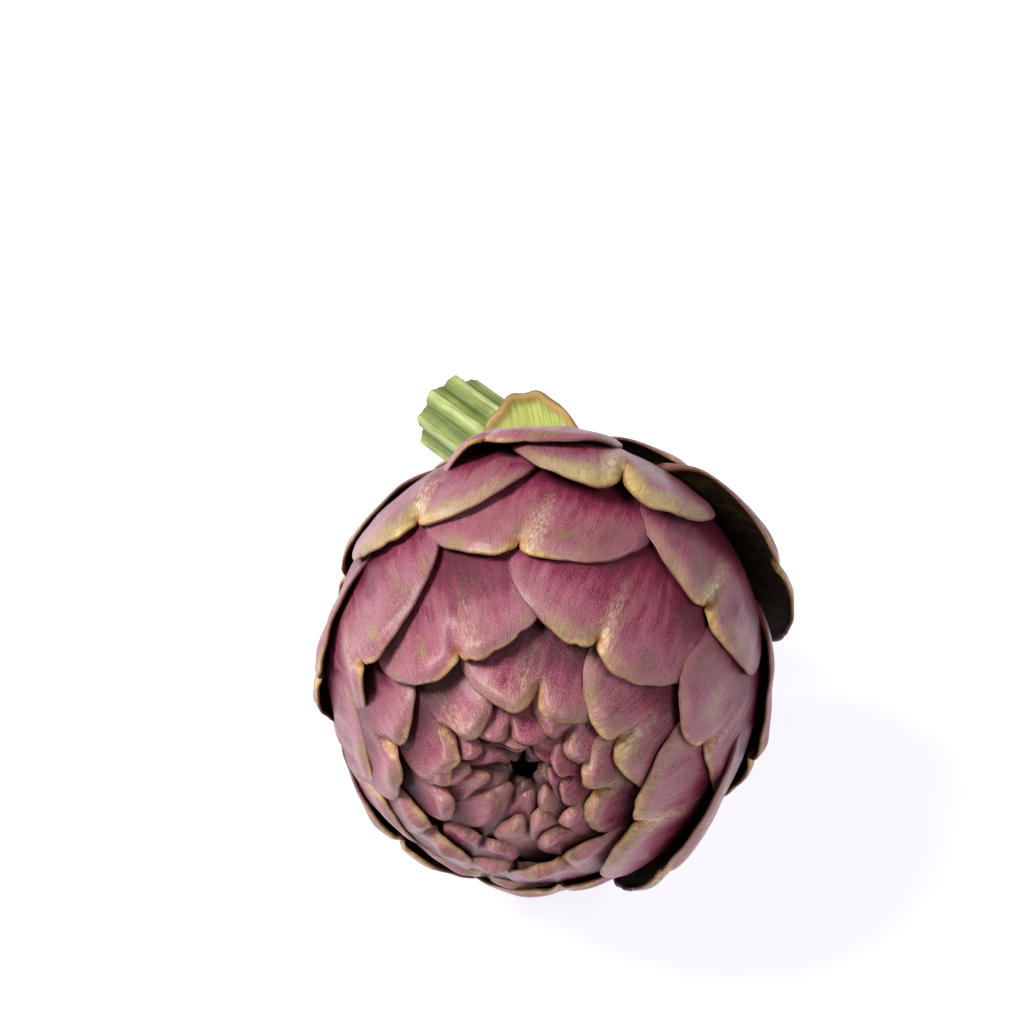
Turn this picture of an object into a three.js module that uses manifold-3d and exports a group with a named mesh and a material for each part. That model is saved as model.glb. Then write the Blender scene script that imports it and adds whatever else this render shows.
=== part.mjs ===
// A globe artichoke as picked, lying on its side: a ribbed stem, a few small green bracts round
// the top of the stem, and the head, whose purple bracts overlap in a golden-angle spiral.
// Millimetres and degrees, +Z up, the surface it lies on at z = 0.
//
// All but the stem is worked out about the head's centre, with an axis from the stem to the
// bud's tip, polar angles measured from that tip and azimuths from the upper side. Bracts are
// numbered along the spiral: 0 is a broad one high on the upper side, higher numbers lie nearer
// the bud's tip, and lower ones nearer the stem.
import * as THREE from "three";
import { mergeVertices } from "three/addons/utils/BufferGeometryUtils.js";
import Module from "manifold-3d";

const wasm = await Module();
wasm.setup();

// The head: its form when closed, and how it lies.
const EQUATOR_RADIUS = 47;
const HALF_HEIGHT = 52.5;
const HEAD_CENTRE = new THREE.Vector3(-1.3, -34, 44.6);
const AXIS_TILT = 21; // the bud's tip points this far above level
const AXIS_ROLL = -10.5; // from straight up to azimuth 0, about the axis
const OPENING = { share: 0.02, from: 38, full: 98, closes: 118, closed: 150 }; // the outer bracts stand off
const FLATTENING = { share: 0.13, from: 115, full: 170 }; // round the stem
const DIMPLE = { depth: 5.5, width: 7 }; // the hole where the innermost bracts meet
const LEAN = { up: 4, across: -1.5, full: 5, fades: 14 }; // of the bud's tip, off the axis
const BELLY = { up: 2.6, from: 58, full: 92, fades: 125, gone: 155 }; // lies above the axis
const CORE = { depth: 3.4, deeper: 4, full: 5, fades: 30, columns: 20, step: 12 };

// The spiral of purple bracts.
const GOLDEN_TURN = 137.508;
const FIRST_TURN = 15.8; // azimuth of bract 0
const FIRST_TIP = 57; // polar angle of the notch of bract 0
const TIPS_CLOSE_IN = 0.067; // share by which each next tip lies nearer the bud's tip
const ROUND_HOLE = { from: 24, closeIn: 0.11 }; // the same for the innermost bracts
const TIPS_MOVE_OUT = 3.7; // angle by which each lower bract's tip lies nearer the stem
const PURPLE = { first: -20, last: 34 };
// How much deeper a bract lies than the next, and where many of them press it down.
const LAYER = { each: 0.35, pressed: 3, soon: 0.18 };
const SUNKEN_BUD = { depth: 1.5, from: 8, full: 12 }; // the bud lies deeper than the bracts round it

// One purple bract, at the size of the broadest.
const HALF_WIDTH = { outer: 28, inner: 7, fades: 13.5 };
const SHORT_FROM = -14; // bracts nearer the stem than this one are smaller
const SHORTER = 0.04;
const REACH = 38; // from the notch down to where the bract sinks into the core
const LENGTH_EXPONENT = 0.6; // a narrower bract is shorter too, but by less
const NARROW_FOOT = 0.6;
const NOTCH = { depth: 4.6, width: 5.2, fading: 4 };
const LOPSIDED_WITHIN = 5; // from the midline, where one lobe is longer
const FOLD = { within: 14, from: 0.3, full: 0.8 };
const CROWN = 0.75; // height of the rounded tip, as a share of the half-width
const ROUNDNESS = 2.3; // of the tip's outline, where 2 is an ellipse
const SHOULDER = 0.76; // where that outline's top turns into its sides
const RIM_CURL = { height: 1.2, atTip: 0.9, atSides: 0.8 };
const TIP_STAND = { height: 0.8, from: 0.1 }; // how far a tip stands off from the next bract
const FLARE_FROM = 0.55;
const THICKNESS = { edge: 1.1, root: 4.4, thinsFrom: 0.5, thinFrom: 0.95 };
// Grids over a bract: across it from side to side, and along it from its foot to its tip. The
// small bracts of the bud take the coarser one.
const BROAD_GRID = { across: [-1, -0.66, -0.26, 0, 0.26, 0.66, 1], along: [0, 0.42, 0.74, 0.92, 1] };
const SMALL_GRID = { across: [-1, -0.45, 0, 0.45, 1], along: [0, 0.5, 0.85, 1], from: 9 };

// Single bracts that depart from the rule: turned round the axis, slid towards the stem and skewed,
// in degrees; lifted off the next bract, flared out at the tip, with one lobe longer and with one
// half folded down, in mm; wider and deeper notched, as shares of the usual.
const DEPARTURES = new Map([
  [-18, { lift: -1.5 }],
  [-17, { lift: -2.5 }],
  [-16, { turn: -4.6, slide: 3.2, lift: 1.2, skew: -5, width: 0.92, notch: 1.1 }],
  [-15, { lift: -1.5 }],
  [-14, { lift: -1 }],
  [-13, { turn: 1, slide: -13, lift: 0.6, skew: -8, width: 0.9, notch: 1.4, flare: 1, fold: 6 }],
  [-12, { lift: 0.2 }],
  [-11, { turn: 4, slide: 5, lift: 2.8, skew: 16, width: 0.9, notch: 0.7, flare: 2.5 }],
  [-10, { turn: 8.2, slide: 10.7, lift: -0.6, skew: -10, notch: 0.3, flare: 1.2 }],
  [-9, { lift: -0.5 }],
  [-8, { turn: -1.5, slide: -7, lift: 1.6, skew: 5, width: 0.8, notch: 2 }],
  [-7, { lift: -1.5 }],
  [-6, { turn: -7.1, slide: 5.1, lift: 0.7, skew: 9, notch: 0.8 }],
  [-5, { turn: -2.9, slide: -3, skew: -3, width: 0.88 }],
  [-4, { lift: -2.5 }],
  [-3, { turn: -2.9, slide: 0.3, lift: -0.5, skew: -2, width: 0.84 }],
  [-2, { turn: -0.9, slide: 7.7, lift: -2, skew: -21, notch: 0.6, flare: 2.5 }],
  [-1, { turn: 2, slide: -4.8, lift: -1.1, skew: 25, notch: 0.6, flare: 2.2 }],
  [0, { slide: 2.2, lift: -0.2, skew: -7, width: 0.94 }],
  [1, { turn: -2.4, slide: 3.4, lift: -4, notch: 0.3, flare: 2.5 }],
  [2, { turn: -2.3, slide: 0.5, lift: -0.5, skew: 5, width: 0.75, notch: 1.1, lopsided: 4 }],
  [3, { turn: 6.2, slide: -1, lift: 0.8, skew: 6, width: 1.1, notch: 1.2, fold: 5 }],
  [4, { turn: 2.2, slide: 3.1, lift: -2, notch: 0.9 }],
  [5, { turn: 1, slide: -0.8, width: 0.92 }],
  [6, { turn: 2.3, slide: 4.6, lift: -2.4, width: 1.1 }],
  [7, { turn: 5.4, slide: -3.9, lift: -0.4, notch: 1.2 }],
  [8, { turn: 1.1, skew: 3, width: 0.92, notch: 0.8 }],
  [9, { turn: 7.9, slide: 13, lift: -1.8 }],
  [10, { turn: -1.1, slide: -1.4, lift: -0.3, skew: 1 }],
  [11, { turn: 5.1, slide: 0.7, lift: 0.4, notch: 1.6 }],
  [12, { turn: -2.6, slide: -0.9 }],
  [13, { turn: -4.3, slide: -1.9, lift: 0.3, skew: 3, width: 1.19, notch: 1.5 }],
  [14, { turn: 5, slide: 4.5 }],
  [15, { turn: 5.2, slide: -1.5 }],
  [16, { turn: 0.8, slide: -4, lift: 0.3, skew: 16, width: 1.15, notch: 1.8 }],
  [17, { turn: 1.3, slide: 8.9, notch: 0.7 }],
  [18, { slide: 1.1 }],
  [19, { slide: -1.7 }],
  [21, { turn: -10.7, slide: -0.4 }],
  [22, { turn: 11.6, slide: 4.2 }],
]);
const NO_DEPARTURE = {
  turn: 0,
  slide: 0,
  skew: 0,
  lift: 0,
  flare: 0,
  lopsided: 0,
  fold: 0,
  width: 1,
  notch: 1,
};

// The green bracts, which go on down the spiral, each with its length, and their feet, which
// form a collar round the top of the stem.
const GREEN_LENGTHS = new Map([
  [-26, 31.5],
  [-25, 13],
  [-24, 23],
  [-23, 21],
  [-22, 15],
  [-21, 17],
]);
const GREEN = { turn: -10, longest: 34, halfWidth: 13.5, narrowest: 0.45, cupping: 0.02, bend: 7 };
const GREEN_FORM = { foot: 0.75, widest: 0.5, blunt: 0.6, arch: 0.12, root: 2 };
const GREEN_GRID = { across: [-1, -0.5, 0, 0.5, 1], along: [0, 0.25, 0.5, 0.75, 0.92, 1] };
const COLLAR = { radius: 16, bevel: 2, top: -46.4, bottom: -50.5, sunk: 4, columns: 30 };

// The stem: its centre line runs from inside the head's base along the axis, then bends down.
const STEM_RADIUS = 10.5;
const STEM_FLARE = { extra: 2.5, length: 9 };
const STEM_RIBS = { count: 9, height: 0.8, pointsEach: 4 };
const STEM_STEPS = 14;
const STEM_ON_AXIS = [-43, -62];
const STEM_MIDDLE = new THREE.Vector3(-15.2, 49.4, 17.1);
const STEM_END = new THREE.Vector3(-41.2, 76.4, 9.8);

const FIT_GAP = 0.3;
const GROUND = { width: 400, depth: 20 };

const { clamp, degToRad, lerp, radToDeg, smoothstep } = THREE.MathUtils;

const tilt = degToRad(AXIS_TILT);
const axis = new THREE.Vector3(0, -Math.cos(tilt), Math.sin(tilt));
const upper = new THREE.Vector3(0, Math.sin(tilt), Math.cos(tilt)).applyAxisAngle(axis, degToRad(AXIS_ROLL));
const sideways = new THREE.Vector3().crossVectors(axis, upper);
const headFrame = new THREE.Matrix4().makeBasis(upper, sideways, axis).setPosition(HEAD_CENTRE);

// Solids.

function solidFrom(positions, indices) {
  const vertProperties = new Float32Array(positions);
  const triVerts = new Uint32Array(indices);
  return new wasm.Manifold(new wasm.Mesh({ numProp: 3, vertProperties, triVerts }));
}

function solidOf(geometry) {
  const bare = geometry.clone();
  bare.deleteAttribute("normal");
  bare.deleteAttribute("uv");
  const merged = mergeVertices(bare);
  return solidFrom(merged.attributes.position.array, merged.index.array);
}

// A solid turned round the head's axis, from a profile of distances from it and along it.
function turnedSolid(profile, columns) {
  return solidOf(new THREE.LatheGeometry(profile, columns).rotateX(Math.PI / 2).applyMatrix4(headFrame));
}

// The largest body of a solid, as a geometry: loose scraps and sealed hollows are dropped.
function geometryOf(solid) {
  const body = solid.decompose().reduce((best, next) => (next.volume() > best.volume() ? next : best));
  const mesh = body.getMesh();
  return new THREE.BufferGeometry()
    .setAttribute("position", new THREE.BufferAttribute(mesh.vertProperties, 3))
    .setIndex(new THREE.BufferAttribute(mesh.triVerts, 1));
}

// A closed sheet over a grid of u and v, with a point for each face, 0 outside and 1 inside.
// Both faces are split into triangles alike, and the two halves of the grid mirror each other.
function sheetSolid(us, vs, pointAt) {
  const positions = [];
  for (const face of [0, 1]) {
    for (const v of vs) {
      for (const u of us) {
        positions.push(...pointAt(u, v, face).toArray());
      }
    }
  }
  const inner = us.length * vs.length;
  const at = (row, column) => row * us.length + column;
  const indices = [];
  for (let row = 0; row + 1 < vs.length; row += 1) {
    for (let column = 0; column + 1 < us.length; column += 1) {
      const around = [at(row, column), at(row, column + 1), at(row + 1, column + 1), at(row + 1, column)];
      if (us[column] >= 0) {
        around.push(around.shift());
      }
      const [a, b, c, d] = around;
      indices.push(a, b, c, a, c, d);
      indices.push(a + inner, c + inner, b + inner, a + inner, d + inner, c + inner);
    }
  }
  const border = borderOf(us.length, vs.length);
  border.forEach((here, i) => {
    const next = border[(i + 1) % border.length];
    indices.push(next, here, here + inner, next, here + inner, next + inner);
  });
  return solidFrom(positions, indices);
}

// The numbers of a grid's border points, in order round it.
function borderOf(columns, rows) {
  const border = [];
  for (let column = 0; column < columns; column += 1) {
    border.push(column);
  }
  for (let row = 1; row < rows; row += 1) {
    border.push(row * columns + columns - 1);
  }
  for (let column = columns - 2; column >= 0; column -= 1) {
    border.push((rows - 1) * columns + column);
  }
  for (let row = rows - 2; row > 0; row -= 1) {
    border.push(row * columns);
  }
  return border;
}

// The head's form.

// Distance from the head's centre to its bracts' tips, at a polar angle.
function envelope(polar) {
  const across = Math.sin(degToRad(polar)) / EQUATOR_RADIUS;
  const along = Math.cos(degToRad(polar)) / HALF_HEIGHT;
  const opens = clamp((polar - OPENING.from) / (OPENING.full - OPENING.from), 0, 1);
  const open = OPENING.share * opens * (1 - smoothstep(polar, OPENING.closes, OPENING.closed));
  const flat = FLATTENING.share * smoothstep(polar, FLATTENING.from, FLATTENING.full);
  const dimple = DIMPLE.depth * Math.exp(-((polar / DIMPLE.width) ** 2));
  return ((1 + open) * (1 - flat)) / Math.hypot(across, along) - dimple;
}

function departure(index) {
  return { ...NO_DEPARTURE, ...DEPARTURES.get(index) };
}

// The polar angle of the notch in a bract's tip.
function tipAngle(index) {
  const atHole = ROUND_HOLE.closeIn * Math.max(index - ROUND_HOLE.from, 0);
  const inwards = FIRST_TIP * Math.exp(-TIPS_CLOSE_IN * Math.min(index, ROUND_HOLE.from) - atHole);
  const outwards = FIRST_TIP - TIPS_MOVE_OUT * index;
  return (index > 0 ? inwards : outwards) + departure(index).slide;
}

// The number, not always whole, of the bract whose tip would lie at a polar angle.
function indexAt(polar) {
  const closedIn = Math.log(FIRST_TIP / Math.max(polar, 2));
  const atHole = Math.max(closedIn - TIPS_CLOSE_IN * ROUND_HOLE.from, 0);
  const inwards = (closedIn - atHole) / TIPS_CLOSE_IN + atHole / ROUND_HOLE.closeIn;
  const outwards = (FIRST_TIP - polar) / TIPS_MOVE_OUT;
  return polar < FIRST_TIP ? inwards : outwards;
}

// How deep a bract lies where so many later ones cover it.
function coveredDepth(later) {
  return later > 0 ? LAYER.pressed * (1 - Math.exp(-LAYER.soon * later)) : LAYER.each * later;
}

function halfWidth(index) {
  const { outer, inner, fades } = HALF_WIDTH;
  const broad = Math.exp(-((Math.max(index - 1, 0) / fades) ** 2));
  const short = 1 - SHORTER * Math.max(SHORT_FROM - index, 0);
  return lerp(inner, outer, broad) * short;
}

// Where a grid point of a bract lies on it: x across it, and y along it from the notch.
function outline(index, u, v) {
  const { width, notch, lopsided } = departure(index);
  const wide = halfWidth(index) * width;
  const size = (halfWidth(index) / HALF_WIDTH.outer) ** LENGTH_EXPONENT;
  const crown = CROWN * wide;
  const lobes = NOTCH.depth * size;
  const reach = REACH * size;
  const round = (share) => (1 - Math.abs(share) ** ROUNDNESS) ** (1 / ROUNDNESS);
  const topAt = (across) => lobes - crown * (1 - round(across * SHOULDER));
  const level = lerp(-reach, topAt(1), v);
  const above = clamp((level - lobes + crown) / crown, 0, 1);
  const foot = lerp(NARROW_FOOT, 1, smoothstep(level, -reach, lobes - crown));
  const x = u * wide * (above > 0 ? round(above) : foot);
  const cleft = lobes * notch * Math.max(1 - Math.abs(x) / (NOTCH.width * size), 0);
  const longer = lopsided * size * Math.tanh(x / (LOPSIDED_WITHIN * size));
  return { x, y: lerp(-reach, topAt(u), v) + (longer - cleft) * v ** NOTCH.fading };
}

// The bud's tip leans off the axis, the belly lies above it, and both take the points near along.
function leaned(point) {
  const polar = radToDeg(point.angleTo(new THREE.Vector3(0, 0, 1)));
  const tip = 1 - smoothstep(polar, LEAN.full, LEAN.fades);
  const belly = smoothstep(polar, BELLY.from, BELLY.full) * (1 - smoothstep(polar, BELLY.fades, BELLY.gone));
  return point.add(new THREE.Vector3(LEAN.up * tip + BELLY.up * belly, LEAN.across * tip, 0));
}

// A grid point of a purple bract. It lies on the head's form, deeper where later bracts cover it.
function purplePoint(index, u, v, face) {
  const { turn, skew, lift, flare, fold } = departure(index);
  const azimuth = degToRad(FIRST_TURN + GOLDEN_TURN * index + turn);
  const round = envelope(tipAngle(index));
  const { x, y } = outline(index, u, v);
  const aside = x * Math.cos(degToRad(skew)) - y * Math.sin(degToRad(skew));
  const ahead = x * Math.sin(degToRad(skew)) + y * Math.cos(degToRad(skew));
  const ray = new THREE.Vector3(Math.cos(aside / round), Math.sin(aside / round), 0);
  ray.applyAxisAngle(new THREE.Vector3(0, 1, 0), degToRad(tipAngle(index)) - ahead / round - Math.PI / 2);
  ray.applyAxisAngle(new THREE.Vector3(0, 0, 1), azimuth);
  const polar = radToDeg(Math.acos(ray.z));
  const size = halfWidth(index) / HALF_WIDTH.outer;
  const sunk = SUNKEN_BUD.depth * smoothstep(index, SUNKEN_BUD.from, SUNKEN_BUD.full);
  const layered = envelope(polar) - coveredDepth(index - indexAt(polar)) - sunk;
  const atTip = smoothstep(v, RIM_CURL.atTip, 1);
  const atSides = smoothstep(Math.abs(u), RIM_CURL.atSides, 1);
  const curl = RIM_CURL.height * size * Math.max(atTip, atSides);
  const stand = (lift + TIP_STAND.height * size) * smoothstep(v, TIP_STAND.from, 1);
  const flared = flare * smoothstep(v, FLARE_FROM, 1);
  const folded = fold * smoothstep(x, 0, FOLD.within) * smoothstep(v, FOLD.from, FOLD.full);
  const thins = smoothstep(v, THICKNESS.thinsFrom, THICKNESS.thinFrom);
  const thickness = lerp(THICKNESS.root, THICKNESS.edge, thins);
  const away = layered + stand + flared - curl - folded - face * thickness;
  return leaned(ray.multiplyScalar(away)).applyMatrix4(headFrame);
}

function coreSolid() {
  const profile = [];
  for (let polar = 180; polar >= 0; polar -= CORE.step) {
    const deeper = CORE.deeper * (1 - smoothstep(polar, CORE.full, CORE.fades));
    const reach = envelope(polar) - CORE.depth - deeper;
    const away = polar % 180 === 0 ? 0 : reach * Math.sin(degToRad(polar));
    profile.push(new THREE.Vector2(away, reach * Math.cos(degToRad(polar))));
  }
  const core = new THREE.LatheGeometry(profile, CORE.columns).rotateX(Math.PI / 2);
  const points = core.getAttribute("position");
  for (let i = 0; i < points.count; i += 1) {
    const { x, y, z } = leaned(new THREE.Vector3().fromBufferAttribute(points, i));
    points.setXYZ(i, x, y, z);
  }
  return solidOf(core.applyMatrix4(headFrame));
}

function headSolid() {
  let solid = coreSolid();
  for (let index = PURPLE.first; index <= PURPLE.last; index += 1) {
    const { across, along } = index < SMALL_GRID.from ? BROAD_GRID : SMALL_GRID;
    solid = solid.add(sheetSolid(across, along, (u, v, face) => purplePoint(index, u, v, face)));
  }
  return solid;
}

// The stem, thicker by an extra, from inside the head's base to its cut end.
function stemSolid(extra) {
  const onAxis = STEM_ON_AXIS.map((z) => new THREE.Vector3(0, 0, z).applyMatrix4(headFrame));
  const centreLine = new THREE.CatmullRomCurve3([...onAxis, STEM_MIDDLE, STEM_END], false, "centripetal");
  const length = centreLine.getLength();
  const sides = STEM_RIBS.count * STEM_RIBS.pointsEach;
  const positions = [];
  for (let step = 0; step <= STEM_STEPS; step += 1) {
    const share = step / STEM_STEPS;
    const forward = centreLine.getTangentAt(share);
    const across = new THREE.Vector3().crossVectors(forward, new THREE.Vector3(0, 0, 1)).normalize();
    const above = new THREE.Vector3().crossVectors(across, forward);
    const flare = STEM_FLARE.extra * Math.exp((-share * length) / STEM_FLARE.length);
    for (let i = 0; i < sides; i += 1) {
      const turn = (2 * Math.PI * i) / sides;
      const radius = STEM_RADIUS + extra + flare + STEM_RIBS.height * Math.cos(STEM_RIBS.count * turn);
      const point = centreLine.getPointAt(share);
      point.addScaledVector(across, radius * Math.cos(turn));
      point.addScaledVector(above, radius * Math.sin(turn));
      positions.push(...point.toArray());
    }
  }
  const [first, last] = [positions.length / 3, STEM_STEPS * sides];
  positions.push(...centreLine.getPointAt(0).toArray(), ...centreLine.getPointAt(1).toArray());
  const indices = [];
  for (let i = 0; i < sides; i += 1) {
    const next = (i + 1) % sides;
    for (let ring = 0; ring < last; ring += sides) {
      indices.push(ring + next, ring + i, ring + next + sides);
      indices.push(ring + next + sides, ring + i, ring + i + sides);
    }
    indices.push(first, i, next, first + 1, last + next, last + i);
  }
  return solidFrom(positions, indices);
}

// The collar, larger by an extra all round.
function collarSolid(extra) {
  const { radius, bevel, top, bottom, columns } = COLLAR;
  const profile = [
    new THREE.Vector2(0, bottom - extra),
    new THREE.Vector2(radius - bevel + extra, bottom - extra),
    new THREE.Vector2(radius + extra, (top + bottom) / 2),
    new THREE.Vector2(radius - bevel + extra, top + extra),
    new THREE.Vector2(0, top + extra),
  ];
  return turnedSolid(profile, columns);
}

// A grid point of a green bract, which spreads out from the collar and bends back at its tip.
function greenPoint(index, u, v, face) {
  const { foot, widest, blunt, arch, root } = GREEN_FORM;
  const length = GREEN_LENGTHS.get(index);
  const size = length / GREEN.longest;
  const swelling = lerp(foot, 1, Math.sin(Math.PI * Math.min(v, widest)));
  const rounding = Math.sqrt(1 - blunt * (Math.max(v - widest, 0) / widest) ** 2);
  const x = u * GREEN.halfWidth * lerp(GREEN.narrowest, 1, size) * swelling * rounding;
  const out = COLLAR.radius - COLLAR.sunk + length * v * (1 - arch * u * u);
  const back = (COLLAR.top + COLLAR.bottom) / 2 - GREEN.bend * (v * size) ** 2 + GREEN.cupping * x * x;
  const point = new THREE.Vector3(out, x, back + face * lerp(root, THICKNESS.edge, v));
  point.applyAxisAngle(new THREE.Vector3(0, 0, 1), degToRad(FIRST_TURN + GOLDEN_TURN * index + GREEN.turn));
  return point.applyMatrix4(headFrame);
}

function greenSolid() {
  let solid = collarSolid(0);
  for (const index of GREEN_LENGTHS.keys()) {
    const { across, along } = GREEN_GRID;
    solid = solid.add(sheetSolid(across, along, (u, v, face) => greenPoint(index, u, v, face)));
  }
  return solid;
}

// The pieces, clear of each other by the gap. What would lie under the surface that the
// artichoke rests on is cut away, which leaves a small flat spot under the head and another
// under the end of the stem.

function part(name, solid, color, roughness) {
  const material = new THREE.MeshStandardMaterial({ color, roughness, metalness: 0 });
  const mesh = new THREE.Mesh(geometryOf(solid), material);
  mesh.name = name;
  return mesh;
}

const groundBlock = new THREE.BoxGeometry(GROUND.width, GROUND.width, GROUND.depth);
const ground = solidOf(groundBlock.translate(0, 0, -GROUND.depth / 2));
const stemRoom = stemSolid(FIT_GAP);
const collarRoom = collarSolid(FIT_GAP);

const artichoke = new THREE.Group();
artichoke.add(part("stem", stemSolid(0).subtract(ground), 0x9db36a, 0.7));
artichoke.add(part("basal_bracts", greenSolid().subtract(stemRoom), 0xa9b36b, 0.65));
artichoke.add(part("head", headSolid().subtract(stemRoom).subtract(collarRoom).subtract(ground), 0x8a4a63, 0.6));

export default artichoke;
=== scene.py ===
import math

import bpy
import numpy as np
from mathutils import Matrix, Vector


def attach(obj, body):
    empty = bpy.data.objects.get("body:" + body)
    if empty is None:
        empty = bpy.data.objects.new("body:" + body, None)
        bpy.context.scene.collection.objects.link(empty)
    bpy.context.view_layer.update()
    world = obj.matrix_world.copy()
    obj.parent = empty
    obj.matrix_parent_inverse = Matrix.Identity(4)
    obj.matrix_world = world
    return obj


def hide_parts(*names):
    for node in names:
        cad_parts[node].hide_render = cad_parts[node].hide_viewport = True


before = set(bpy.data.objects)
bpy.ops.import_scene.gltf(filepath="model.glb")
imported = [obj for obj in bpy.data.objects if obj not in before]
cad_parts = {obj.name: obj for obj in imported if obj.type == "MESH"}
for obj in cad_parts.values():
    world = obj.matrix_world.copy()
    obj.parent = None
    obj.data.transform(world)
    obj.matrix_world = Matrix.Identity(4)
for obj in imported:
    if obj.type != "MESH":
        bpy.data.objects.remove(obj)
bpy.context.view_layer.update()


# Stem.
# The cut flower stalk: pale green, fleshy and ribbed lengthwise, with whitish down on its ribs.
# It starts a little way inside the head, bends down to the surface and ends in a plain cut.

# Sizes are in millimetres and angles in degrees, here and in all the artichoke's sections. A leaf's
# own shares, such as where it curls from, run from 0 at its foot to 1 at its tip.
STEM_RADIUS = 10.5
STEM_FLARE = {"extra": 2.5, "length": 9}
STEM_RIBS = {"count": 9, "height": 0.8, "sway": 0.25, "sway_length": 13}
STEM_FURROWS = {"per_rib": 3, "height": 0.18, "sway": 0.5, "start": 1.3}
STEM_OVAL = {"extra": 0.35, "twist_length": 19, "full": 12}
STEM_ON_AXIS = (-43, -62)
STEM_SUNK = 6
STEM_MIDDLE = (-15.2, 49.4, 17.1)
STEM_END = (-41.2, 76.4, 9.8)
STEM_STEPS = 120
STEM_STEPS_PER_KNOT = 80
STEM_SIDES = 216
CUT_RINGS = 6
CUT_HOLLOW = 0.9
CUT_LIP = {"height": 0.4, "from": 0.8}
STALK_FIBRE = {"spacing": 0.6, "length": 14}
STALK_MOTTLE = 5.88
STEM_GREEN = "93a053"
STEM_FURROW = "5c6b31"
STEM_DOWN = "c0c690"
CUT_PITH = "cfcb98"
CUT_DRY = "8f7446"

HEAD_CENTRE = np.array([-1.3, -34, 44.6])
AXIS_TILT = math.radians(21)
AXIS_ROLL = math.radians(-10.5)

# The head's own frame: azimuth 0 on the upper side, and the axis from the stem to the bud's tip.
axis = np.array([0, -math.cos(AXIS_TILT), math.sin(AXIS_TILT)])
straight_up = np.array([0, math.sin(AXIS_TILT), math.cos(AXIS_TILT)])
upper = straight_up * math.cos(AXIS_ROLL) + np.cross(axis, straight_up) * math.sin(AXIS_ROLL)
head_frame = np.stack([upper, np.cross(axis, upper), axis])


def placed(points):
    """Points of the head's own frame in the frame of the whole, still in millimetres."""
    return points @ head_frame + HEAD_CENTRE


def ramp(low, high, value):
    """From 0 at low to 1 at high, soft at both ends."""
    share = np.clip((value - low) / (high - low), 0, 1)
    return share * share * (3 - 2 * share)


def make_piece(name, points, faces, values):
    """A smooth mesh from points in millimetres, pressed flat where it meets the surface."""
    points = np.array(points, float)
    points[:, 2] = np.maximum(points[:, 2], 0)
    mesh = bpy.data.meshes.new(name)
    mesh.from_pydata((points / 1000).tolist(), [], faces)
    for label, numbers in values.items():
        layer = mesh.attributes.new(label, "FLOAT", "POINT")
        layer.data.foreach_set("value", np.ascontiguousarray(numbers, dtype=np.float32))
    mesh.polygons.foreach_set("use_smooth", [True] * len(mesh.polygons))
    mesh.update()
    piece = bpy.data.objects.new(name, mesh)
    bpy.context.scene.collection.objects.link(piece)
    return piece


def tube_faces(rows, columns):
    """Faces between rings of points, and the points' numbers, ring by ring."""
    number = np.arange(rows * columns).reshape(rows, columns)
    beside = np.roll(number, -1, axis=1)
    return np.stack([number[:-1], number[1:], beside[1:], beside[:-1]], -1).reshape(-1, 4).tolist(), number


def colour(hexcode):
    """An sRGB hex colour as linear red, green and blue, with full alpha."""
    parts = [int(hexcode[i : i + 2], 16) / 255 for i in (0, 2, 4)]
    return [c / 12.92 if c <= 0.04045 else ((c + 0.055) / 1.055) ** 2.4 for c in parts] + [1]


def add_node(tree, kind, inputs=None, out=0, **settings):
    """Adds a node with its settings, sets or links its inputs, and gives one of its outputs."""
    node = tree.nodes.new("ShaderNode" + kind)
    for key, value in settings.items():
        setattr(node, key, value)
    for key, value in (inputs or {}).items():
        if isinstance(value, bpy.types.NodeSocket):
            tree.links.new(value, node.inputs[key])
        else:
            node.inputs[key].default_value = value
    return node.outputs[out] if len(node.outputs) else node


def empty_material(name):
    """A new material without nodes, and its node tree."""
    material = bpy.data.materials.new(name)
    material.use_nodes = True
    material.node_tree.nodes.clear()
    return material, material.node_tree


def stem_line():
    """The stem's centre line, the same curve through four points as in the solid, in even steps."""
    on_axis = [placed(np.array([0, 0, z])) for z in STEM_ON_AXIS]
    knots = [*on_axis, np.array(STEM_MIDDLE), np.array(STEM_END)]
    ends = [2 * knots[0] - knots[1], *knots, 2 * knots[-1] - knots[-2]]
    line = []
    for i in range(len(knots) - 1):
        p0, p1, p2, p3 = ends[i : i + 4]
        a, b, c = (np.linalg.norm(q - p) ** 0.5 for p, q in ((p0, p1), (p1, p2), (p2, p3)))
        leaving = ((p1 - p0) / a - (p2 - p0) / (a + b) + (p2 - p1) / b) * b
        arriving = ((p2 - p1) / b - (p3 - p1) / (b + c) + (p3 - p2) / c) * b
        for t in np.linspace(0, 1, STEM_STEPS_PER_KNOT, endpoint=False):
            near = (2 * t**3 - 3 * t**2 + 1) * p1 + (t**3 - 2 * t**2 + t) * leaving
            line.append(near + (3 * t**2 - 2 * t**3) * p2 + (t**3 - t**2) * arriving)
    line = np.array([*line, knots[-1]])
    walked = np.concatenate([[0], np.cumsum(np.linalg.norm(np.diff(line, axis=0), axis=1))])
    even = np.linspace(0, walked[-1], STEM_STEPS + 1)
    return np.stack([np.interp(even, walked, line[:, i]) for i in range(3)], axis=1), even


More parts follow.
